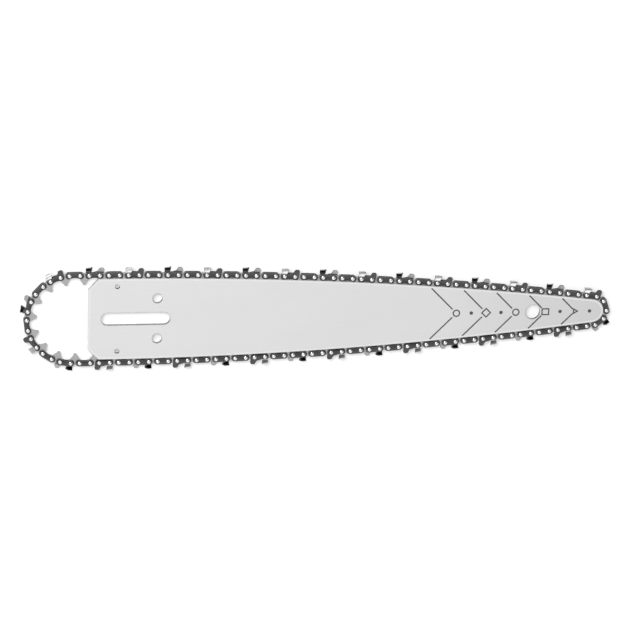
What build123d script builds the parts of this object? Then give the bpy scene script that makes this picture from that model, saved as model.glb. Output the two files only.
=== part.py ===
"""Chainsaw carving bar with its saw chain, lying on its side.

The bar lies in the XY plane with its nose towards +X. The origin is the middle of the stud slot,
half way through the bar's thickness. The chain runs towards the nose along the +Y rail, round the
nose and back along the -Y rail. Millimetres.
"""

import os
from math import asin, atan2, ceil, cos, degrees, dist, pi, radians, sin, sqrt, tan

from build123d import *

# Guide bar
bar_length = 342.0
bar_thickness = 3.2
tail_half_height = 27.2
nose_radius = 8.0
tail_to_slot = 31.0
tail_chamfer = 7.0
level_rail = 5.0
rim_chamfer = 0.4

# Openings of the bar
slot_length = 45.0
slot_width = 8.4
tensioner_hole = 6.5
tensioner_x = 14.0
tensioner_y = 13.5
oil_hole = 3.0
oil_x = -12.0
tip_hole = 10.0
tip_to_hole = 48.0

# Rivet pitch of the chain, and the height of the rivets above the rail
plate_span = 6.87
drive_span = 5.83
rivet_height = 2.15

# Straps: rise above and reach beyond their rivets
strap_thickness = 0.95
strap_rise = 2.1
strap_reach = 2.5
strap_shoulder = 1.1
end_flat = 1.8
foot_length = 1.4
notch_slope = 2.2
notch_clearance = 0.1

# Drive links, whose tangs run in the bar's groove
drive_thickness = 1.25
drive_rise = 1.5
drive_reach = 2.3
tang_depth = 4.2
tang_tip = 1.5
tang_root = 0.5
hook_depth = 2.4
hook_lead = 0.6
groove_side_clearance = 0.075
groove_floor_clearance = 1.3

# Cutters: working corner, side plate and top plate
corner_rise = 5.2
corner_lead = 2.5
corner_overhang = 0.78
corner_angle = 30.0
side_angle = 7.0
relief_angle = 6.0
side_relief_angle = 3.0
top_plate_length = 4.5
top_plate_thickness = 0.75
top_plate_cross = 0.55
side_root = 1.9

# Cutters: depth gauge, the ramp behind it, and gullet
gauge_rise = 4.6
gauge_lead = 0.1
gauge_length = 2.3
gauge_front = 3.0
gauge_shoulder = 3.3
ramp_run = 1.3
ramp_rise = 2.4
gullet_lead = 1.9
gullet_rise = 1.6

# Least straight run of the chain behind the bar's rails
least_tail_run = 10.0

# Plates in one repeat of the chain: left cutter, strap, right cutter, strap
repeat_count = 4

tail_x = -tail_to_slot
tip_x = tail_x + bar_length
nose_x = tip_x - nose_radius
crown_x = tail_x + tail_chamfer + level_rail
groove_depth = tang_depth + groove_floor_clearance
groove_width = drive_thickness + 2 * groove_side_clearance

# Each rail is level behind its crown, and from there one arc that is tangent to the nose
crown_to_nose = nose_x - crown_x
nose_drop = tail_half_height - nose_radius
rail_radius = (crown_to_nose**2 + tail_half_height**2 - nose_radius**2) / (2 * nose_drop)
rail_angle = asin(crown_to_nose / (rail_radius - nose_radius))
rail_center_y = tail_half_height - rail_radius

# Pitch curve of the chain: the rails and nose, moved out to the rivets, closed by a half circle
pitch_nose = nose_radius + rivet_height
pitch_rail = rail_radius + rivet_height
pitch_tail = tail_half_height + rivet_height
nose_run = pitch_nose * (pi / 2 - rail_angle)
rail_run = pitch_rail * rail_angle


def half_loop(tail_run):
    """Length of the pitch curve from the nose tip to the far side of the tail loop."""
    return nose_run + rail_run + tail_run + pitch_tail * pi / 2


def pitch_point(way, tail_run):
    """Point of the pitch curve a given way from the nose tip, along the lower run first."""
    half = half_loop(tail_run)
    way = way % (2 * half)
    side = 1 if way > half else -1
    rest = min(way, 2 * half - way)
    if rest <= nose_run:
        angle = rest / pitch_nose
        return nose_x + pitch_nose * cos(angle), side * pitch_nose * sin(angle)
    rest -= nose_run
    if rest <= rail_run:
        angle = rail_angle - rest / pitch_rail
        return crown_x + pitch_rail * sin(angle), side * (rail_center_y + pitch_rail * cos(angle))
    rest -= rail_run
    if rest <= tail_run:
        return crown_x - rest, side * pitch_tail
    angle = (rest - tail_run) / pitch_tail
    return crown_x - tail_run - pitch_tail * sin(angle), side * pitch_tail * cos(angle)


def next_rivet(way, span, tail_run):
    """Way to the next rivet, which lies one straight span from the rivet at the given way."""
    start = pitch_point(way, tail_run)
    low = way
    high = way + 2 * span
    while high - low > 1e-9:
        middle = (low + high) / 2
        if dist(start, pitch_point(middle, tail_run)) < span:
            low = middle
        else:
            high = middle
    return low


def rivet_ways(tail_run):
    """Ways of all rivets from the one at the nose tip: a drive link, a plate, and so on."""
    ways = [0.0]
    for _ in range(plate_count):
        ways.append(next_rivet(ways[-1], drive_span, tail_run))
        ways.append(next_rivet(ways[-1], plate_span, tail_run))
    return ways


# A whole number of repeats, with the tail loop drawn back until the chain closes
pitch = plate_span + drive_span
plate_count = repeat_count * ceil(2 * half_loop(least_tail_run) / (repeat_count * pitch))
short_run = 0.0
long_run = least_tail_run + repeat_count * pitch
while long_run - short_run > 1e-7:
    tail_run = (short_run + long_run) / 2
    if rivet_ways(tail_run)[-1] > 2 * half_loop(tail_run):
        short_run = tail_run
    else:
        long_run = tail_run
rivets = [pitch_point(way, tail_run) for way in rivet_ways(tail_run)]


def link_place(first):
    """Place of the link that joins a rivet to the next: X along its travel, Y away from the bar."""
    (x0, y0), (x1, y1) = rivets[first], rivets[first + 1]
    return Location(((x0 + x1) / 2, (y0 + y1) / 2, 0), (0, 0, degrees(atan2(y1 - y0, x1 - x0))))


drive_places = [link_place(2 * plate) for plate in range(plate_count)]
plate_places = [link_place(2 * plate + 1) for plate in range(plate_count)]
left_places = plate_places[0::repeat_count]
right_places = plate_places[2::repeat_count]
strap_places = plate_places[1::2]

# Shared shape of straps and cutters: feet under the rivets and a notch that clears the nose
half_plate = plate_span / 2
plate_end = half_plate + strap_reach
nose_sagitta = pitch_nose - sqrt(pitch_nose**2 - half_plate**2)
notch_top = nose_sagitta + notch_clearance - rivet_height
plate_inner = drive_thickness / 2
plate_outer = plate_inner + strap_thickness
plate_base = [
    (-plate_end, end_flat / 2),
    (-plate_end, -end_flat / 2),
    (-half_plate - foot_length, -rivet_height),
    (-half_plate, -rivet_height),
    (-half_plate + notch_slope, notch_top),
    (half_plate - notch_slope, notch_top),
    (half_plate, -rivet_height),
    (half_plate + foot_length, -rivet_height),
    (plate_end, -end_flat / 2),
    (plate_end, end_flat / 2),
]


def rail_point(angle, inset, side):
    """Point of a rail at an angle from its crown, moved into the bar by an inset."""
    radius = rail_radius - inset
    return crown_x + radius * sin(angle), side * (rail_center_y + radius * cos(angle))


def bar_face(inset):
    """Face of the bar with its rails and nose moved in by an inset, and a square tail."""
    with BuildSketch() as face:
        with BuildLine():
            for side in (1, -1):
                ThreePointArc(*[rail_point(rail_angle * part, inset, side) for part in (0, 0.5, 1)])
            ThreePointArc(
                rail_point(rail_angle, inset, 1),
                (tip_x - inset, 0),
                rail_point(rail_angle, inset, -1),
            )
            Polyline(
                rail_point(0, inset, 1),
                (tail_x, tail_half_height - inset),
                (tail_x, inset - tail_half_height),
                rail_point(0, inset, -1),
            )
        make_face()
    return face.sketch


with BuildPart() as guide_bar:
    with BuildSketch(Plane.XY.offset(-bar_thickness / 2)):
        add(bar_face(0))
    extrude(amount=bar_thickness)
    tail_corners = guide_bar.edges().filter_by(Axis.Z).group_by(Axis.X)[0]
    chamfer(tail_corners, tail_chamfer)
    sides = guide_bar.faces().filter_by(Plane.XY)
    chamfer(sides.edges(), rim_chamfer)

    # The groove runs round the rails and the nose and is open at the tail
    with BuildSketch(Plane.XY.offset(-groove_width / 2)):
        add(bar_face(0))
        add(bar_face(groove_depth), mode=Mode.SUBTRACT)
    extrude(amount=groove_width, mode=Mode.SUBTRACT)

    with BuildSketch(Plane.XY.offset(-bar_thickness / 2)):
        SlotOverall(slot_length, slot_width)
    extrude(amount=bar_thickness, mode=Mode.SUBTRACT)
    with Locations((tensioner_x, tensioner_y), (tensioner_x, -tensioner_y)):
        Hole(tensioner_hole / 2)
    oil_y = tail_half_height - groove_depth
    with Locations((oil_x, oil_y), (oil_x, -oil_y)):
        Hole(oil_hole / 2)
    with Locations((tip_x - tip_to_hole, 0)):
        Hole(tip_hole / 2)

with BuildPart() as drive_link:
    half_drive = drive_span / 2
    drive_end = half_drive + drive_reach
    tang_bottom = -rivet_height - tang_depth
    with BuildSketch(Plane.XY.offset(-drive_thickness / 2)):
        Polygon(
            (-drive_end, end_flat / 2),
            (-drive_end, -end_flat / 2),
            (-half_drive - tang_root, -rivet_height),
            (-tang_tip / 2, tang_bottom),
            (tang_tip / 2, tang_bottom),
            (tang_tip / 2 + hook_lead, -rivet_height - hook_depth),
            (half_drive + tang_root, -rivet_height),
            (drive_end, -end_flat / 2),
            (drive_end, end_flat / 2),
            (half_drive + tang_root, drive_rise),
            (-half_drive - tang_root, drive_rise),
            align=None,
        )
    extrude(amount=drive_thickness)

with BuildPart() as strap:
    with BuildSketch(Plane.XY.offset(plate_inner)):
        Polygon(
            *plate_base,
            (half_plate + strap_shoulder, strap_rise),
            (-half_plate - strap_shoulder, strap_rise),
            align=None,
        )
    extrude(amount=strap_thickness)

with BuildPart() as right_cutter:
    corner = Vector(corner_lead - half_plate, corner_rise, plate_outer + corner_overhang)
    top_under = corner_rise - top_plate_thickness

    # Side plate that leans out and turns over into the top plate, cut to its working angles
    with BuildSketch(Plane((corner.X, 0, 0), x_dir=(0, 0, 1), z_dir=(-1, 0, 0))):
        Polygon(
            (plate_inner, 0),
            (plate_inner, side_root),
            (corner.Z - strap_thickness, top_under),
            (-top_plate_cross, top_under),
            (-top_plate_cross, corner_rise),
            (corner.Z - top_plate_thickness, corner_rise),
            (corner.Z, top_under),
            (plate_outer, side_root),
            (plate_outer, 0),
            align=None,
        )
    extrude(amount=top_plate_length)
    edge_slope = (1, -tan(radians(side_angle)), -tan(radians(corner_angle)))
    top_slope = (-tan(radians(relief_angle)), 1, 0)
    side_slope = (-tan(radians(side_relief_angle)), 0, 1)
    for slope in (edge_slope, top_slope, side_slope):
        split(bisect_by=Plane(corner, z_dir=slope), keep=Keep.BOTTOM)

    # Body on the rivets, with the gullet, ramp and depth gauge ahead of the working corner
    with BuildSketch(Plane.XY.offset(plate_inner)):
        Polygon(
            *plate_base,
            (half_plate + gauge_front, gauge_shoulder),
            (half_plate + gauge_lead + gauge_length, gauge_rise),
            (half_plate + gauge_lead, gauge_rise),
            (half_plate - ramp_run, ramp_rise),
            (gullet_lead - half_plate, gullet_rise),
            (-half_plate - strap_shoulder, side_root),
            align=None,
        )
    extrude(amount=strap_thickness)

with BuildPart() as left_cutter:
    mirror(right_cutter.part, about=Plane.XY)

with BuildPart() as left_strap:
    mirror(strap.part, about=Plane.XY)

with BuildPart() as drive_links:
    with Locations(*drive_places):
        add(drive_link.part)

with BuildPart() as tie_straps:
    with Locations(*strap_places):
        add(strap.part)
        add(left_strap.part)

with BuildPart() as cutter_straps:
    with Locations(*left_places):
        add(strap.part)
    with Locations(*right_places):
        add(left_strap.part)

os.makedirs("parts", exist_ok=True)

guide_bar.part.label = "guide_bar"
export_step(guide_bar.part, "parts/guide_bar.step")

drive_links.part.label = "drive_links"
export_step(drive_links.part, "parts/drive_links.step")

tie_straps.part.label = "tie_straps"
export_step(tie_straps.part, "parts/tie_straps.step")

cutter_straps.part.label = "cutter_straps"
export_step(cutter_straps.part, "parts/cutter_straps.step")

for hand, shape, places in (("left", left_cutter, left_places), ("right", right_cutter, right_places)):
    for number, place in enumerate(places, 1):
        name = f"{hand}_cutter_{number:02d}"
        with BuildPart() as cutter:
            with Locations(place):
                add(shape.part)
        cutter.part.label = name
        export_step(cutter.part, f"parts/{name}.step")
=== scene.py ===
"""Guide bar with its saw chain on a pale floor: finishes, links, rivets, marks, light and camera.

Shapes are drawn in millimetres, in the frame's own axes, and scaled to metres as they are made.
"""

from math import asin, ceil, cos, pi, radians, sin, sqrt, tan

import bmesh
import bpy
import numpy as np
from mathutils import Matrix, Vector


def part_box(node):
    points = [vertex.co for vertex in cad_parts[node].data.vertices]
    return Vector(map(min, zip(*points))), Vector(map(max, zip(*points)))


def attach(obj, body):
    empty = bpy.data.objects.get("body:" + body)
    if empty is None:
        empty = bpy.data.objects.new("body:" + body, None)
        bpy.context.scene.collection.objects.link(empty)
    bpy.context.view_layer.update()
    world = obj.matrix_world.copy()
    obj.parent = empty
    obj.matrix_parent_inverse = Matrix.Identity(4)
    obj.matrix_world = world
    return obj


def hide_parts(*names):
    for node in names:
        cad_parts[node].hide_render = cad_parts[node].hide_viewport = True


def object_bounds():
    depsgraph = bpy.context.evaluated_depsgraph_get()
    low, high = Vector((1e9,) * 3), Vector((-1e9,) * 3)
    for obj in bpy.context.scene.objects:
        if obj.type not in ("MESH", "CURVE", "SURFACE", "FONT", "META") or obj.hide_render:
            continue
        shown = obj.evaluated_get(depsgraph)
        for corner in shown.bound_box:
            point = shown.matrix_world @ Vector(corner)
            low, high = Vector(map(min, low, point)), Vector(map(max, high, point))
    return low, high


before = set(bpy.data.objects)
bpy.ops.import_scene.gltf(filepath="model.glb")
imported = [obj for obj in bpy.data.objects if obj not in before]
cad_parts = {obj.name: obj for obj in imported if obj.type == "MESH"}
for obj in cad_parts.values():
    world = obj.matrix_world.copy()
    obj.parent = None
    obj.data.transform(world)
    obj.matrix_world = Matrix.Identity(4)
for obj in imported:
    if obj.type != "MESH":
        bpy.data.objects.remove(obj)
cad_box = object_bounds()

MM = 0.001
SMOOTH_ANGLE = radians(30)
ARC_STEP = radians(15)
WHITE = (1.0, 1.0, 1.0, 1.0)

# Slot of a mesh's second material, for bare or worn rims and for the painted shade on the walls of
# openings
SECOND_SLOT = 1

# Points nearer to each other than this are one point
WELD = 0.004

# Positions of a noise between which a tone or a roughness runs from its low to its high end
TONE_STOPS = (0.3, 0.7)
ROUGHNESS_STOPS = (0.25, 0.75)

# Guide bar
bar_thickness = 3.2
nose_radius = 8.0
tail_chamfer = 7.0
level_rail = 5.0
rim_chamfer = 0.4
rim_band = 1.1
groove_width = 1.4
groove_depth = 5.5
groove_overrun = 2.0
nose_tone_length = 106.0
rail_steps = 40
nose_steps = 36

# Openings of the bar
slot_length = 45.0
slot_width = 8.4
tensioner_hole = 6.5
tensioner_place = (14.0, 13.5)
oil_hole = 3.0
oil_place = (-12.0, 21.7)
tip_hole = 10.0
tip_to_hole = 48.0
hole_chamfer = 0.25
hole_steps = 48

# Rivet pitch of the chain, and the height of the rivets above the rail
plate_span = 6.87
drive_span = 5.83
rivet_height = 2.15

# Straps, and the feet that they share with the cutters
strap_thickness = 0.95
strap_rise = 2.1
strap_reach = 2.5
strap_shoulder = 1.1
end_flat = 1.8
foot_length = 1.4
notch_slope = 2.2
notch_top = -1.45
end_round = 1.9
heel_round = 1.5
foot_round = 1.0
notch_round = 1.2
shoulder_round = 2.2
plate_rim = 0.11
strap_rim = 0.22
# Rise over which the plates' painted shade near the bar turns to painted light outward
plate_shade_reach = 1.4

# Drive links, whose tangs run in the groove
drive_thickness = 1.25
drive_rise = 1.5
drive_reach = 2.3
tang_depth = 4.2
tang_tip = 1.5
tang_root = 0.5
hook_depth = 2.4
hook_lead = 0.6
drive_end_round = 1.7
drive_heel_round = 1.0
drive_top_round = 2.0
tang_root_round = 0.8
tang_tip_round = 0.5
hook_tip_round = 0.6
hook_round = 1.6

# Cutters: working corner, side plate and top plate
corner_rise = 5.2
corner_lead = 2.5
corner_overhang = 0.78
corner_angle = radians(30)
side_angle = radians(7)
relief_angle = radians(6)
side_relief_angle = radians(3)
edge_hook = 0.3
edge_round = 0.15
top_plate_length = 4.5
top_plate_thickness = 0.75
top_plate_cross = 0.55
side_root = 1.9
root_bend = 2.0
outer_bend = 0.77
inner_bend = 0.12
rear_rise = 1.25
rear_round = 0.5
rear_root_round = 0.4
bend_steps = 8

# Cutters: depth gauge, the ramp behind it, and gullet
gauge_rise = 4.6
gauge_lead = 0.1
gauge_length = 2.3
gauge_front = 3.0
gauge_shoulder = 3.3
ramp_run = 1.3
ramp_rise = 2.4
gullet_lead = 1.9
gullet_rise = 1.6
gauge_shoulder_round = 0.8
gauge_round = 0.5
ramp_round = 1.0
gullet_round = 0.5
cutter_arc_steps = 5

# Cutters: where the chrome and the painted shade on the inside of the bent flap begin, and what counts as
# its front
chrome_start = 1.15
shade_start = 2.6
flap_margin = 0.4
front_facing = 0.5

# Rivets
rivet_radius = 1.28
rivet_rise = 0.6
rivet_steps = 24
dome_steps = 7

# Depth marks, numbered from the tip of the bar
mark_pitch = 10.0
dot_numbers = (1, 3, 7, 9)
mark_lead = 0.5
mark_height = 0.02
mark_line = 0.9
dot_radius = 1.21
sign_radius = 2.55
square_radius = 3.39
square_stretch = 1.12
diamond_radius = 3.5
sign_line = 0.87
arm_lead = 0.05
arm_start = 2.6
triangle_arm_start = 1.4
arm_inset = 1.5

# Floor and room, whose brightness in reflections is set by stops from -Y to +Y
floor_reach = 3000.0
floor_grey = 0.8
floor_lift = 0.3
ambient_light = 0.45
room_stops = ((0.43, 1.0), (0.62, 0.12), (0.70, 0.12), (0.86, 0.45))

# Camera: turn about the bar's upright axis, tilt and roll, with the scale in pixels per millimetre
yaw = radians(9.8)
pitch = radians(16.3)
roll = radians(-1.75)
distance = 2000.0
scale = 1.531
image_size = 640
target = (121.0, -3.4, 0.0)

# Bar in the frame: each rail is level behind its crown, and from there one arc tangent to the nose
bar_low, bar_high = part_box("guide_bar")
tail_x = bar_low.x / MM
tip_x = bar_high.x / MM
tail_half_height = bar_high.y / MM
nose_x = tip_x - nose_radius
crown_x = tail_x + tail_chamfer + level_rail
crown_to_nose = nose_x - crown_x
nose_drop = tail_half_height - nose_radius
rail_radius = (crown_to_nose**2 + tail_half_height**2 - nose_radius**2) / (2 * nose_drop)
rail_angle = asin(crown_to_nose / (rail_radius - nose_radius))
rail_center_y = tail_half_height - rail_radius

# Plates in their own frame, midway between their rivets: X along the travel, Y away from the bar
half_plate = plate_span / 2
plate_end = half_plate + strap_reach
plate_inner = drive_thickness / 2
plate_outer = plate_inner + strap_thickness
half_drive = drive_span / 2
drive_end = half_drive + drive_reach
tang_bottom = -rivet_height - tang_depth
rear_rivet = Vector((-half_plate, 0, 0))
front_rivet = Vector((half_plate, 0, 0))

# Working corner of a cutter, and how far forward its bent flap reaches
corner_x = corner_lead - half_plate
corner_z = plate_outer + corner_overhang
flap_limit = corner_x + flap_margin


def rounded(corners, steps=None):
    """Outline through corners (x, y, radius), where a corner with a radius becomes an arc."""
    points = []
    for index, (x, y, radius) in enumerate(corners):
        here = Vector((x, y))
        if radius == 0:
            points.append(here)
            continue
        back = (Vector(corners[index - 1][:2]) - here).normalized()
        ahead = (Vector(corners[(index + 1) % len(corners)][:2]) - here).normalized()
        half = back.angle(ahead) / 2
        center = here + (back + ahead).normalized() * (radius / sin(half))
        spoke = here + back * (radius / tan(half)) - center
        turn = pi - 2 * half
        if back.x * ahead.y - back.y * ahead.x > 0:
            turn = -turn
        count = steps or max(2, ceil(abs(turn) / ARC_STEP))
        for step in range(count + 1):
            points.append(center + Matrix.Rotation(turn * step / count, 2) @ spoke)
    return points


def inset(outline, amount):
    """Counter-clockwise outline moved towards its inside."""
    moved = []
    for index, here in enumerate(outline):
        back = here - outline[index - 1]
        ahead = outline[(index + 1) % len(outline)] - here
        first = Vector((-back.y, back.x)).normalized()
        second = Vector((-ahead.y, ahead.x)).normalized()
        moved.append(here + (first + second) * (amount / (1 + first.dot(second))))
    return moved


def regular(count, radius, turn=0.0):
    """Regular counter-clockwise outline about the origin, with a corner at the given angle."""
    angles = [turn + 2 * pi * step / count for step in range(count)]
    return [Vector((radius * cos(angle), radius * sin(angle))) for angle in angles]


def level(outline, height):
    """Outline raised to a height."""
    return [(point.x, point.y, height) for point in outline]


def plate_rings(outline, low, high, rim):
    """Rings of a plate between two heights, with its rims chamfered."""
    small = inset(outline, rim)
    return [level(small, low), level(outline, low + rim), level(outline, high - rim), level(small, high)]


def loft(bm, rings, place=Matrix(), hollow=False):
    """Skin through rings of equal length, closed by end faces, or back to the first ring if hollow."""
    loops = [[bm.verts.new(place @ Vector(point)) for point in ring] for ring in rings]
    pairs = list(zip(loops, loops[1:]))
    if hollow:
        pairs.append((loops[-1], loops[0]))
    faces = []
    for low, high in pairs:
        for here in range(len(low)):
            there = (here + 1) % len(low)
            faces.append(bm.faces.new((low[here], low[there], high[there], high[here])))
    if not hollow:
        faces.append(bm.faces.new(loops[0][::-1]))
        faces.append(bm.faces.new(loops[-1]))
    return faces


def make_mesh(name, bm, *materials):
    """Mesh in metres from a drawing in millimetres, smooth up to the smoothing angle."""
    bmesh.ops.scale(bm, vec=(MM, MM, MM), verts=bm.verts)
    mesh = bpy.data.meshes.new(name)
    bm.to_mesh(mesh)
    bm.free()
    for material in materials:
        mesh.materials.append(material)
    mesh.shade_smooth()
    mesh.set_sharp_from_angle(angle=SMOOTH_ANGLE)
    return mesh


def add_object(name, data):
    """Object at the origin of the scene."""
    thing = bpy.data.objects.new(name, data)
    bpy.context.scene.collection.objects.link(thing)
    return thing


def add_ramp(nodes, links, factor, *stops):
    """Ramp through stops (position, grey)."""
    ramp = nodes.new("ShaderNodeValToRGB")
    elements = ramp.color_ramp.elements
    while len(elements) < len(stops):
        elements.new(1.0)
    for element, (position, grey) in zip(elements, stops):
        element.position = position
        element.color = (grey, grey, grey, 1.0)
    links.new(factor, ramp.inputs["Fac"])
    return ramp.outputs["Color"]


class Finish:
    """A procedural material with one principled shader."""

    def __init__(self, name, metallic):
        self.material = bpy.data.materials.new(name)
        self.material.use_nodes = True
        self.nodes = self.material.node_tree.nodes
        self.links = self.material.node_tree.links
        self.shader = self.nodes["Principled BSDF"]
        self.shader.inputs["Metallic"].default_value = metallic
        self.place = self.nodes.new("ShaderNodeTexCoord").outputs["Object"]

    def noise(self, grain, detail):
        """Noise whose grain is given in millimetres along each axis."""
        mapping = self.nodes.new("ShaderNodeMapping")
        mapping.inputs["Scale"].default_value = [1 / (size * MM) for size in grain]
        texture = self.nodes.new("ShaderNodeTexNoise")
        texture.inputs["Scale"].default_value = 1.0
        texture.inputs["Detail"].default_value = detail
        self.links.new(self.place, mapping.inputs["Vector"])
        self.links.new(mapping.outputs["Vector"], texture.inputs["Vector"])
        return texture.outputs["Fac"]

    def tone(self, noise, dark, light):
        """Grey that varies with a noise."""
        return add_ramp(self.nodes, self.links, noise, *zip(TONE_STOPS, (dark, light)))

    def mix(self, first, second, factor=None):
        """Two outputs mixed by a factor, or in equal parts."""
        node = self.nodes.new("ShaderNodeMix")
        node.data_type = "RGBA"
        if factor is not None:
            self.links.new(factor, node.inputs["Factor"])
        self.links.new(first, node.inputs["A"])
        self.links.new(second, node.inputs["B"])
        return node.outputs["Result"]

    def share(self, value, low, high):
        """Value mapped to run from 0 at its low end to 1 at its high end."""
        node = self.nodes.new("ShaderNodeMapRange")
        node.inputs["From Min"].default_value = low
        node.inputs["From Max"].default_value = high
        self.links.new(value, node.inputs["Value"])
        return node.outputs["Result"]

    def along(self, start, end):
        """Share of the way along X between two places in millimetres."""
        axes = self.nodes.new("ShaderNodeSeparateXYZ")
        self.links.new(self.place, axes.inputs["Vector"])
        return self.share(axes.outputs["X"], start * MM, end * MM)

    def held(self, name, low, high):
        """Share of a value that the mesh holds at its points."""
        source = self.nodes.new("ShaderNodeAttribute")
        source.attribute_name = name
        return self.share(source.outputs["Fac"], low, high)

    def color(self, output):
        """Take the colour from an output."""
        self.links.new(output, self.shader.inputs["Base Color"])

    def roughness(self, noise, low, high):
        """Roughness that varies with a noise."""
        ramp = add_ramp(self.nodes, self.links, noise, *zip(ROUGHNESS_STOPS, (low, high)))
        self.links.new(ramp, self.shader.inputs["Roughness"])

    def bump(self, height, depth):
        """Relief from a height, as deep as given in millimetres."""
        node = self.nodes.new("ShaderNodeBump")
        node.inputs["Distance"].default_value = depth * MM
        self.links.new(height, node.inputs["Height"])
        self.links.new(node.outputs["Normal"], self.shader.inputs["Normal"])


def grained(name, metallic, grain, detail, greys, roughness, relief=None):
    """Finish whose tone, roughness and relief, if any, all follow one grain."""
    finish = Finish(name, metallic)
    noise = finish.noise(grain, detail)
    finish.color(finish.tone(noise, *greys))
    finish.roughness(noise, *roughness)
    if relief:
        finish.bump(noise, relief)
    return finish.material


def bar_paint():
    """Satin paint with a fine grain along the bar, a little darker towards the nose."""
    finish = Finish("bar_paint", metallic=0.0)
    grain = finish.noise(grain=(14.0, 0.16, 0.16), detail=4.0)
    cloud = finish.noise(grain=(60.0, 25.0, 25.0), detail=2.0)
    streaks = finish.tone(grain, dark=0.655, light=0.712)
    drift = finish.tone(cloud, dark=0.668, light=0.698)
    nose = finish.tone(grain, dark=0.595, light=0.642)
    to_nose = finish.along(tip_x - nose_tone_length, tip_x)
    finish.color(finish.mix(finish.mix(streaks, drift), nose, to_nose))
    finish.roughness(grain, low=0.40, high=0.52)
    finish.bump(grain, depth=0.004)
    return finish.material


def ground_steel():
    """Bare rims and groove of the bar, ground lengthwise."""
    return grained(
        "ground_steel", metallic=0.55, grain=(9.0, 0.12, 0.3), detail=4.0,
        greys=(0.735, 0.812), roughness=(0.26, 0.40), relief=0.004,
    )


def bore_wall_shade():
    """Walls of the bar's openings, dark with painted shade."""
    return grained(
        "bore_wall_shade", metallic=1.0, grain=(0.5, 0.5, 2.0), detail=3.0,
        greys=(0.15, 0.23), roughness=(0.32, 0.48),
    )


def plate_steel():
    """Plates with painted shade near the bar and painted light on their outer side."""
    finish = Finish("plate_steel", metallic=0.85)
    grain = finish.noise(grain=(0.5, 0.5, 0.5), detail=4.0)
    cloud = finish.noise(grain=(5.0, 5.0, 5.0), detail=2.0)
    # Painted shade near the bar turns to painted light outward with the rise of each point, blended with
    # a cloud
    outward = finish.held("rise", -plate_shade_reach, plate_shade_reach)
    shade_near_bar = finish.tone(grain, dark=0.016, light=0.030)
    light_outward = finish.tone(grain, dark=0.097, light=0.127)
    finish.color(finish.mix(shade_near_bar, light_outward, finish.mix(cloud, outward)))
    finish.roughness(grain, low=0.34, high=0.50)
    finish.bump(grain, depth=0.006)
    return finish.material


def worn_steel():
    """Worn rims of the straps, lighter than their sides."""
    return grained(
        "worn_steel", metallic=1.0, grain=(0.4, 0.4, 0.4), detail=3.0,
        greys=(0.16, 0.26), roughness=(0.26, 0.42),
    )


def link_steel():
    """Plain steel of the drive links."""
    return grained(
        "link_steel", metallic=0.8, grain=(0.5, 0.5, 0.5), detail=4.0,
        greys=(0.36, 0.468), roughness=(0.34, 0.48), relief=0.005,
    )


def rivet_steel():
    """Bright heads of the rivets."""
    return grained(
        "rivet_steel", metallic=1.0, grain=(0.25, 0.25, 0.25), detail=3.0,
        greys=(0.68, 0.787), roughness=(0.20, 0.34), relief=0.004,
    )


def cutter_chrome():
    """Chromed outside of a cutter's side and top plate."""
    return grained(
        "cutter_chrome", metallic=1.0, grain=(0.35, 0.35, 0.35), detail=3.0,
        greys=(0.465, 0.535), roughness=(0.11, 0.21),
    )


def cutter_inside_shade():
    """Black painted shade on the inside of a cutter's side and top plate."""
    return grained(
        "cutter_inside_shade", metallic=0.95, grain=(0.4, 0.4, 0.4), detail=3.0,
        greys=(0.006, 0.013), roughness=(0.42, 0.6),
    )


def gauge_steel():
    """Bare inside of a cutter's depth gauge."""
    return grained(
        "gauge_steel", metallic=0.7, grain=(0.4, 0.4, 0.4), detail=3.0,
        greys=(0.35, 0.47), roughness=(0.38, 0.52),
    )


def mark_ink():
    """Ink of the depth marks."""
    return grained(
        "mark_ink", metallic=0.0, grain=(0.3, 0.3, 0.3), detail=3.0,
        greys=(0.05, 0.08), roughness=(0.42, 0.58),
    )


def rails(move_in):
    """Lower rail, nose and upper rail in one line, moved into the bar."""
    radius = rail_radius - move_in
    upper = []
    for step in range(rail_steps + 1):
        angle = rail_angle * step / rail_steps
        upper.append(Vector((crown_x + radius * sin(angle), rail_center_y + radius * cos(angle))))
    nose = []
    half_turn = pi / 2 - rail_angle
    for step in range(1, nose_steps):
        angle = half_turn * (2 * step / nose_steps - 1)
        nose.append(Vector((nose_x, 0)) + (nose_radius - move_in) * Vector((cos(angle), sin(angle))))
    lower = [Vector((point.x, -point.y)) for point in upper]
    return lower + nose + upper[::-1]


def mirrored_ends(x, y):
    """A point above the axis of the bar and its twin below it."""
    return Vector((x, y)), Vector((x, -y))


def bar_blank():
    """Bar before its openings are cut, with bare rims."""
    shoulder_top, shoulder_bottom = mirrored_ends(tail_x + tail_chamfer, tail_half_height)
    corner_top, corner_bottom = mirrored_ends(tail_x, tail_half_height - tail_chamfer)
    outline = [shoulder_bottom, *rails(0), shoulder_top, corner_top, corner_bottom]
    edge = inset(outline, rim_chamfer)
    band = inset(outline, rim_chamfer + rim_band)
    half = bar_thickness / 2
    rings = [
        level(band, -half),
        level(edge, -half),
        level(outline, rim_chamfer - half),
        level(outline, half - rim_chamfer),
        level(edge, half),
        level(band, half),
    ]
    bm = bmesh.new()
    for face in loft(bm, rings)[:-2]:
        face.material_index = SECOND_SLOT
    return bm


def groove_cut():
    """Tool that cuts the chain groove round the rails and the nose."""
    end_x = tail_x - groove_overrun
    outer_top, outer_bottom = mirrored_ends(end_x, tail_half_height + groove_overrun)
    inner_top, inner_bottom = mirrored_ends(end_x, tail_half_height - groove_depth)
    outer = [outer_bottom, *rails(-groove_overrun), outer_top]
    inner = [inner_bottom, *rails(groove_depth), inner_top]
    outline = outer + inner[::-1]
    bm = bmesh.new()
    loft(bm, [level(outline, -groove_width / 2), level(outline, groove_width / 2)])
    return bm


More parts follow.
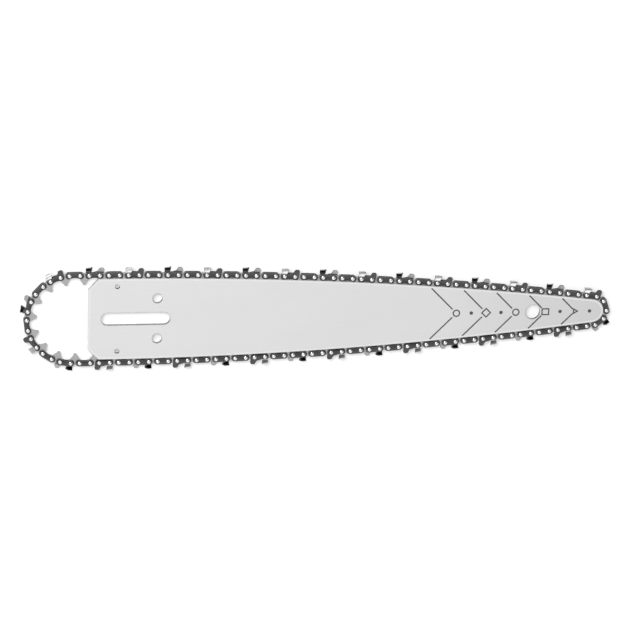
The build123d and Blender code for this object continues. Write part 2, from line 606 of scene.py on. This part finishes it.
def through_cut(outline, place=(0.0, 0.0)):
    """Tool that cuts an outline through the bar and chamfers both of its rims."""
    half = bar_thickness / 2
    wide = inset(outline, -2 * hole_chamfer)
    rings = [
        level(wide, -half - hole_chamfer),
        level(outline, -half + hole_chamfer),
        level(outline, half - hole_chamfer),
        level(wide, half + hole_chamfer),
    ]
    bm = bmesh.new()
    faces = loft(bm, rings, Matrix.Translation((*place, 0.0)))
    # The walls of the opening take the second material, which is painted shade
    for face in faces[len(outline):2 * len(outline)]:
        face.material_index = SECOND_SLOT
    return bm


def opening_cuts():
    """Tools for the stud slot and the holes of the bar."""
    slot_x = slot_length / 2
    slot_y = slot_width / 2
    slot = rounded([
        (-slot_x, -slot_y, slot_y),
        (slot_x, -slot_y, slot_y),
        (slot_x, slot_y, slot_y),
        (-slot_x, slot_y, slot_y),
    ])
    holes = [(tip_hole, (tip_x - tip_to_hole, 0.0))]
    for diameter, (x, y) in ((tensioner_hole, tensioner_place), (oil_hole, oil_place)):
        holes += [(diameter, (x, y)), (diameter, (x, -y))]
    cuts = [through_cut(slot)]
    cuts += [through_cut(regular(hole_steps, diameter / 2), place) for diameter, place in holes]
    return cuts


def cut_away(piece, cuts, *materials):
    """Cut tools out of a piece, whose new faces take the tools' materials."""
    tools = []
    for cut in cuts:
        tool = add_object("cut", make_mesh("cut", cut, *materials))
        boolean = piece.modifiers.new("cut", "BOOLEAN")
        boolean.operation = "DIFFERENCE"
        boolean.solver = "EXACT"
        boolean.material_mode = "TRANSFER"
        boolean.object = tool
        tools.append(tool)
    bpy.context.view_layer.update()
    graph = bpy.context.evaluated_depsgraph_get()
    shape = bpy.data.meshes.new_from_object(piece.evaluated_get(graph))
    piece.modifiers.clear()
    piece.data = shape
    bm = bmesh.new()
    bm.from_mesh(shape)
    bmesh.ops.dissolve_degenerate(bm, edges=bm.edges, dist=WELD * MM)
    bm.to_mesh(shape)
    bm.free()
    shape.set_sharp_from_angle(angle=SMOOTH_ANGLE)
    for tool in tools:
        bpy.data.objects.remove(tool)


def make_bar():
    """Bar with painted sides, bare rims and groove, and its openings."""
    steel = ground_steel()
    bar = add_object("bar", make_mesh("bar", bar_blank(), bar_paint(), steel))
    cut_away(bar, [groove_cut(), *opening_cuts()], steel, bore_wall_shade())
    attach(bar, "root")
    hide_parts("guide_bar")


def solids(node):
    """Points of each separate solid of a node, in millimetres."""
    bm = bmesh.new()
    bm.from_mesh(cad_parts[node].data)
    bmesh.ops.remove_doubles(bm, verts=bm.verts, dist=WELD * MM)
    seen = set()
    found = []
    for first in bm.verts:
        if first in seen:
            continue
        seen.add(first)
        group = [first]
        for vert in group:
            for edge in vert.link_edges:
                other = edge.other_vert(vert)
                if other not in seen:
                    seen.add(other)
                    group.append(other)
        found.append(np.array([vert.co for vert in group]) / MM)
    bm.free()
    return found


def flat_place(along, away, x, y):
    """Place in the plane of the bar, from its two axes and its origin."""
    return Matrix(((along[0], away[0], 0, x), (along[1], away[1], 0, y), (0, 0, 1, 0), (0, 0, 0, 1)))


def plate_place(points, middle):
    """Place of a plate, found from the points of its solid."""
    flat = points[:, :2]
    center = flat.mean(axis=0)
    _, _, axes = np.linalg.svd(flat - center)
    along = axes[0]
    away = np.array((-along[1], along[0]))
    if away @ (center - middle) < 0:
        along = -along
        away = -away
    ways = flat @ along
    x, y = along * (ways.max() + ways.min()) / 2 + away * ((flat @ away).max() - strap_rise)
    return flat_place(along, away, x, y)


def link_place(start, end):
    """Place of a link between two rivets."""
    along = (end - start).normalized()
    x, y, _ = (start + end) / 2
    return flat_place(along, (-along.y, along.x), x, y)


def in_order(places):
    """Plate places in the order of the chain."""
    left = list(places)
    ordered = [left.pop()]
    while left:
        end = ordered[-1] @ front_rivet
        nearest = min(left, key=lambda place: (place @ rear_rivet - end).length)
        left.remove(nearest)
        ordered.append(nearest)
    return ordered


# Outlines of the links, counter-clockwise, with the radius of each corner
plate_foot = [
    (-plate_end, end_flat / 2, end_round),
    (-plate_end, -end_flat / 2, end_round),
    (-half_plate - foot_length, -rivet_height, heel_round),
    (-half_plate, -rivet_height, foot_round),
    (-half_plate + notch_slope, notch_top, notch_round),
    (half_plate - notch_slope, notch_top, notch_round),
    (half_plate, -rivet_height, foot_round),
    (half_plate + foot_length, -rivet_height, heel_round),
    (plate_end, -end_flat / 2, end_round),
    (plate_end, end_flat / 2, end_round),
]
strap_outline = rounded([
    *plate_foot,
    (half_plate + strap_shoulder, strap_rise, shoulder_round),
    (-half_plate - strap_shoulder, strap_rise, shoulder_round),
])
drive_outline = rounded([
    (-drive_end, end_flat / 2, drive_end_round),
    (-drive_end, -end_flat / 2, drive_heel_round),
    (-half_drive - tang_root, -rivet_height, tang_root_round),
    (-tang_tip / 2, tang_bottom, tang_tip_round),
    (tang_tip / 2, tang_bottom, hook_tip_round),
    (tang_tip / 2 + hook_lead, -rivet_height - hook_depth, hook_round),
    (half_drive + tang_root, -rivet_height, tang_root_round),
    (drive_end, -end_flat / 2, drive_heel_round),
    (drive_end, end_flat / 2, drive_end_round),
    (half_drive + tang_root, drive_rise, drive_top_round),
    (-half_drive - tang_root, drive_rise, drive_top_round),
])


def make_plates(name, rings, places, node, *materials):
    """One piece of equal plates at their places, with worn rims."""
    bm = bmesh.new()
    # Rise of each point above the rivet line, which places the plate steel's painted shade and painted
    # light
    rise = bm.verts.layers.float.new("rise")
    count = len(rings[0])
    for place in places:
        faces = loft(bm, rings, place)
        for face in faces[:count] + faces[2 * count:3 * count]:
            face.material_index = SECOND_SLOT
        back = place.inverted()
        for face in faces:
            for vert in face.verts:
                vert[rise] = (back @ vert.co).y
    piece = add_object(name, make_mesh(name, bm, *materials))
    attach(piece, "root")
    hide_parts(node)


# Bent flap of a cutter seen from the front, as (z, rise): up the side plate, then across the top plate
under_rise = corner_rise - top_plate_thickness
lean = corner_overhang / (under_rise - side_root)
outer_profile = rounded([
    (plate_outer, 0, 0),
    (plate_outer, side_root, root_bend),
    (plate_outer + lean * (corner_rise - side_root), corner_rise, outer_bend),
    (-top_plate_cross, corner_rise, 0),
], bend_steps)
inner_profile = rounded([
    (plate_inner, 0, 0),
    (plate_inner, side_root, root_bend + strap_thickness),
    (plate_inner + lean * (under_rise - side_root), under_rise, inner_bend),
    (-top_plate_cross, under_rise, 0),
], bend_steps)

# Rise of each point of the profiles while the strip is still flat
flat_rises = [0.0]
for before, after in zip(outer_profile, outer_profile[1:]):
    flat_rises.append(flat_rises[-1] + (after - before).length)

# Materials of a cutter: dark plate, chrome outside, black painted shade inside and the bare inside of the
# gauge
PLATE, CHROME, INSIDE, GAUGE = range(4)


def edge_front(z, rise):
    """Front of the working edge at a point of the cutter's profile."""
    return corner_x + tan(side_angle) * (rise - corner_rise) + tan(corner_angle) * (z - corner_z)


def cutter_outline(profile, hook):
    """Outline of a cutter on the flat strip, whose working edge draws back to a hook at its far end."""
    last = len(flat_rises) - 1
    edge = []
    for step in range(1, last + 1):
        front = edge_front(*profile[step]) - hook * step / last
        edge.append((front, flat_rises[step], edge_round if step == last else 0))
    rear = corner_x - top_plate_length
    gauge_start = half_plate + gauge_lead
    return rounded([
        *plate_foot,
        (half_plate + gauge_front, gauge_shoulder, gauge_shoulder_round),
        (gauge_start + gauge_length, gauge_rise, gauge_round),
        (gauge_start, gauge_rise, gauge_round),
        (half_plate - ramp_run, ramp_rise, ramp_round),
        (gullet_lead - half_plate, gullet_rise, gullet_round),
        *edge,
        (rear, flat_rises[-1], rear_round),
        (rear, rear_rise, rear_root_round),
    ], cutter_arc_steps)


def flat_cutter():
    """Cutter as a flat strip, divided where it will bend or change its material."""
    low = cutter_outline(inner_profile, edge_hook)
    high = cutter_outline(outer_profile, 0.0)
    rings = [
        level(inset(low, plate_rim), plate_inner),
        level(low, plate_inner + plate_rim),
        level(high, plate_outer - plate_rim),
        level(inset(high, plate_rim), plate_outer),
    ]
    bm = bmesh.new()

    # Until the materials are set, the slots mark the sides: plate for outside, gauge for the edges
    faces = loft(bm, rings)
    for face in faces[:2 * len(low)]:
        face.material_index = GAUGE
    faces[-2].material_index = INSIDE
    for rise in [chrome_start, shade_start, *flat_rises[1:-1]]:
        geometry = bm.verts[:] + bm.edges[:] + bm.faces[:]
        bmesh.ops.bisect_plane(bm, geom=geometry, dist=WELD, plane_co=(0, rise, 0), plane_no=(0, 1, 0))
    bmesh.ops.remove_doubles(bm, verts=bm.verts, dist=WELD)
    bm.normal_update()
    return bm


def cutter_material(face):
    """Material of a face of the flat cutter, whose slot still marks its side."""
    x, rise, _ = face.calc_center_median()
    outside = face.material_index == PLATE
    inside = face.material_index == INSIDE
    if x < flap_limit and outside and rise > chrome_start:
        return CHROME
    # Inside faces of the flap above the shade start take black painted shade, except those turned to the
    # front
    if x < flap_limit and not outside and rise > shade_start:
        return PLATE if face.normal.x > front_facing else INSIDE
    if x > flap_limit and inside and rise > strap_rise:
        return GAUGE
    return PLATE


def bent(x, flat_rise, z):
    """Where a point of the flat cutter lies once its flap is bent and relieved behind the edge."""
    if x > flap_limit or flat_rise < flat_rises[1]:
        return x, flat_rise, z
    step = min(np.searchsorted(flat_rises, flat_rise, side="right") - 1, len(flat_rises) - 2)
    part = (flat_rise - flat_rises[step]) / (flat_rises[step + 1] - flat_rises[step])
    inside = inner_profile[step].lerp(inner_profile[step + 1], part)
    outside = outer_profile[step].lerp(outer_profile[step + 1], part)
    z, rise = inside.lerp(outside, (z - plate_inner) / strap_thickness)
    behind = max(0.0, corner_x - x)
    height = min(1.0, max(0.0, (rise - side_root) / (corner_rise - side_root)))
    relief = height * behind
    return x, rise - relief * tan(relief_angle), z - relief * tan(side_relief_angle)


def cutter_mesh(hand, *materials):
    """Cutter cut from flat strip and bent: the side plate leans out and turns over into the top plate."""
    bm = flat_cutter()
    for face in bm.faces:
        face.material_index = cutter_material(face)
    # Rise of each point on the flat strip, which places the plate steel's painted shade and painted light
    held_rise = bm.verts.layers.float.new("rise")
    for vert in bm.verts:
        vert[held_rise] = vert.co.y
        vert.co = bent(*vert.co)
    bmesh.ops.triangulate(bm, faces=bm.faces)
    if hand == "left":
        bmesh.ops.scale(bm, vec=(1, 1, -1), verts=bm.verts)
        bmesh.ops.reverse_faces(bm, faces=bm.faces)
    return make_mesh(f"{hand}_cutter", bm, *materials)


def make_cutters(places, steel):
    """Every cutter at the place that lies nearest to its node."""
    finishes = (steel, cutter_chrome(), cutter_inside_shade(), gauge_steel())
    meshes = {hand: cutter_mesh(hand, *finishes) for hand in ("left", "right")}
    for node in sorted(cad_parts):
        hand = node.split("_")[0]
        if hand not in meshes:
            continue
        low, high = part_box(node)
        center = (low + high) / (2 * MM)
        place = min(places, key=lambda spot: (spot.translation.xy - center.xy).length)
        mesh = meshes[hand].copy()
        mesh.transform(Matrix.LocRotScale(place.to_translation() * MM, place.to_quaternion(), None))
        cutter = add_object(f"{node}_detail", mesh)
        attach(cutter, "root")
        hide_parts(node)


def make_rivets(places):
    """A rivet through every plate joint, with a domed head on both sides."""
    head = []
    for step in range(dome_steps):
        angle = pi / 2 * step / dome_steps
        ring = regular(rivet_steps, rivet_radius * cos(angle))
        head.append(level(ring, plate_outer + rivet_rise * sin(angle)))
    rings = [[(x, y, -z) for x, y, z in ring] for ring in head[::-1]] + head
    bm = bmesh.new()
    for place in places:
        for rivet in (rear_rivet, front_rivet):
            loft(bm, rings, place @ Matrix.Translation(rivet))
    piece = add_object("rivets", make_mesh("rivets", bm, rivet_steel()))
    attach(piece, "root")


def make_chain():
    """All links and rivets of the chain, each at its place in the frame."""
    tie_solids = solids("tie_straps")
    cutter_solids = solids("cutter_straps")
    middle = np.concatenate(tie_solids)[:, :2].mean(axis=0)
    tie_places = [plate_place(points, middle) for points in tie_solids if points[0, 2] > 0]
    near_places = [plate_place(points, middle) for points in cutter_solids if points[0, 2] > 0]
    far_places = [plate_place(points, middle) for points in cutter_solids if points[0, 2] < 0]
    places = in_order(tie_places + near_places + far_places)
    drive_places = []
    for place, following in zip(places, places[1:] + places[:1]):
        drive_places.append(link_place(place @ front_rivet, following @ rear_rivet))

    steel = plate_steel()
    worn = worn_steel()
    link = link_steel()
    near_rings = plate_rings(strap_outline, plate_inner, plate_outer, strap_rim)
    far_rings = plate_rings(strap_outline, -plate_outer, -plate_inner, strap_rim)
    drive_rings = plate_rings(drive_outline, -plate_inner, plate_inner, plate_rim)
    make_plates("near_tie_straps", near_rings, tie_places, "tie_straps", steel, worn)
    make_plates("far_tie_straps", far_rings, tie_places, "tie_straps", steel, worn)
    make_plates("near_cutter_straps", near_rings, near_places, "cutter_straps", steel, worn)
    make_plates("far_cutter_straps", far_rings, far_places, "cutter_straps", steel, worn)
    make_plates("drive_link_plates", drive_rings, drive_places, "drive_links", link, link)
    make_cutters(near_places + far_places, steel)
    make_rivets(places)


def arm_end(x):
    """Where a mark's arm, running back from the axis at 45 degrees, comes near the rail."""
    run = x - crown_x
    radius = rail_radius - arm_inset
    reach = run + rail_center_y
    return (reach + sqrt(reach**2 - 2 * (run**2 + rail_center_y**2 - radius**2))) / 2


def arm_outline(x, begin, end, side):
    """Arm of a mark between two distances from the axis, on its upper side (1) or lower side (-1)."""
    half = mark_line / sqrt(2) / 2
    corners = []
    for away, step in ((begin, -half), (begin, half), (end, half), (end, -half)):
        corners.append(Vector((x - away + step, side * (away + step))))
    return corners[::side]


def make_marks():
    """Depth marks on the upper side of the bar: dots, signs and arms that run back to the rails."""
    low = bar_thickness / 2
    high = low + mark_height
    dot = regular(rivet_steps, dot_radius)
    ring = regular(hole_steps, sign_radius)
    triangle = regular(3, sign_radius)
    even_square = regular(4, square_radius, pi / 4)
    square = [Vector((point.x * square_stretch, point.y)) for point in even_square]
    diamond = regular(4, diamond_radius)

    # Number and outline of each sign, and where its arms start
    signs = (
        (2, triangle, triangle_arm_start),
        (4, square, arm_start),
        (6, ring, arm_start),
        (8, diamond, arm_start),
        (10, ring, arm_start),
    )
    bm = bmesh.new()
    for number in dot_numbers:
        x = tip_x + mark_lead - number * mark_pitch
        loft(bm, [level(dot, low), level(dot, high)], Matrix.Translation((x, 0, 0)))
    for number, sign, start in signs:
        x = tip_x + mark_lead - number * mark_pitch
        hollow = inset(sign, sign_line)
        rings = [level(sign, low), level(sign, high), level(hollow, high), level(hollow, low)]
        loft(bm, rings, Matrix.Translation((x, 0, 0)), hollow=True)
        root = x + arm_lead
        for side in (1, -1):
            arm = arm_outline(root, arm_lead + start, arm_end(root), side)
            loft(bm, [level(arm, low), level(arm, high)])
    piece = add_object("depth_marks", make_mesh("depth_marks", bm, mark_ink()))
    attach(piece, "root")


def seen_directly(nodes, links, strength):
    """Strength for camera, glossy and transmission rays, and zero for the rest."""
    path = nodes.new("ShaderNodeLightPath")
    total = path.outputs["Is Camera Ray"]
    for kind in ("Is Glossy Ray", "Is Transmission Ray"):
        larger = nodes.new("ShaderNodeMath")
        larger.operation = "MAXIMUM"
        links.new(total, larger.inputs[0])
        links.new(path.outputs[kind], larger.inputs[1])
        total = larger.outputs["Value"]
    scaled = nodes.new("ShaderNodeMath")
    scaled.operation = "MULTIPLY"
    scaled.inputs[1].default_value = strength
    links.new(total, scaled.inputs[0])
    return scaled.outputs["Value"]


def floor_white():
    """Matt floor that reads white to the camera and keeps the shadow."""
    finish = Finish("floor", metallic=0.0)
    inputs = finish.shader.inputs
    inputs["Base Color"].default_value = (floor_grey, floor_grey, floor_grey, 1.0)
    inputs["Roughness"].default_value = 1.0
    inputs["Specular IOR Level"].default_value = 0.0
    inputs["Emission Color"].default_value = WHITE
    lift = seen_directly(finish.nodes, finish.links, floor_lift)
    finish.links.new(lift, inputs["Emission Strength"])
    return finish.material


def make_floor():
    """Pale floor under the chain."""
    height = cad_box[0][2] / MM
    bm = bmesh.new()
    corners = regular(4, floor_reach * sqrt(2), pi / 4)
    bm.faces.new([bm.verts.new(corner) for corner in level(corners, height)])
    add_object("floor", make_mesh("floor", bm, floor_white()))


def make_world():
    """Dim ambient light, which reflections see as a white room with a dark band above, towards +Y."""
    world = bpy.data.worlds.new("world")
    bpy.context.scene.world = world
    world.use_nodes = True
    nodes = world.node_tree.nodes
    links = world.node_tree.links
    heading = nodes.new("ShaderNodeSeparateXYZ")
    links.new(nodes.new("ShaderNodeTexCoord").outputs["Generated"], heading.inputs["Vector"])
    across = nodes.new("ShaderNodeMapRange")
    across.inputs["From Min"].default_value = -1.0
    links.new(heading.outputs["Y"], across.inputs["Value"])
    room = add_ramp(nodes, links, across.outputs["Result"], *room_stops)
    strength = nodes.new("ShaderNodeMix")
    strength.inputs["A"].default_value = ambient_light
    links.new(seen_directly(nodes, links, 1.0), strength.inputs["Factor"])
    links.new(room, strength.inputs["B"])
    links.new(strength.outputs["Result"], nodes["Background"].inputs["Strength"])
    nodes["Background"].inputs["Color"].default_value = WHITE


def make_light(name, place, size, power):
    """Square area light aimed at the middle of the object."""
    lamp = bpy.data.lights.new(name, "AREA")
    lamp.size = size * MM
    lamp.energy = power
    light = add_object(name, lamp)
    light.location = Vector(place) * MM
    aim = (Vector(target) - Vector(place)) * MM
    light.rotation_euler = aim.to_track_quat("-Z", "Y").to_euler()


def make_camera():
    """Camera at the photograph's angle and scale, with the whole object in view."""
    data = bpy.data.cameras.new("camera")
    data.lens = scale * distance * data.sensor_width / image_size
    camera = add_object("camera", data)
    turn = Matrix.Rotation(roll, 3, "Z") @ Matrix.Rotation(pitch, 3, "X") @ Matrix.Rotation(yaw, 3, "Y")
    axes = turn.transposed()
    place = (Vector(target) + axes.col[2] * distance) * MM
    camera.matrix_world = Matrix.Translation(place) @ axes.to_4x4()
    bpy.context.scene.camera = camera


make_bar()
make_chain()
make_marks()
make_floor()
make_world()
make_light("key", place=(-450, 700, 1270), size=900, power=18.3)
make_light("side", place=(360, -1230, 820), size=700, power=1.8)
make_camera()
bpy.context.scene.view_settings.view_transform = "Standard"
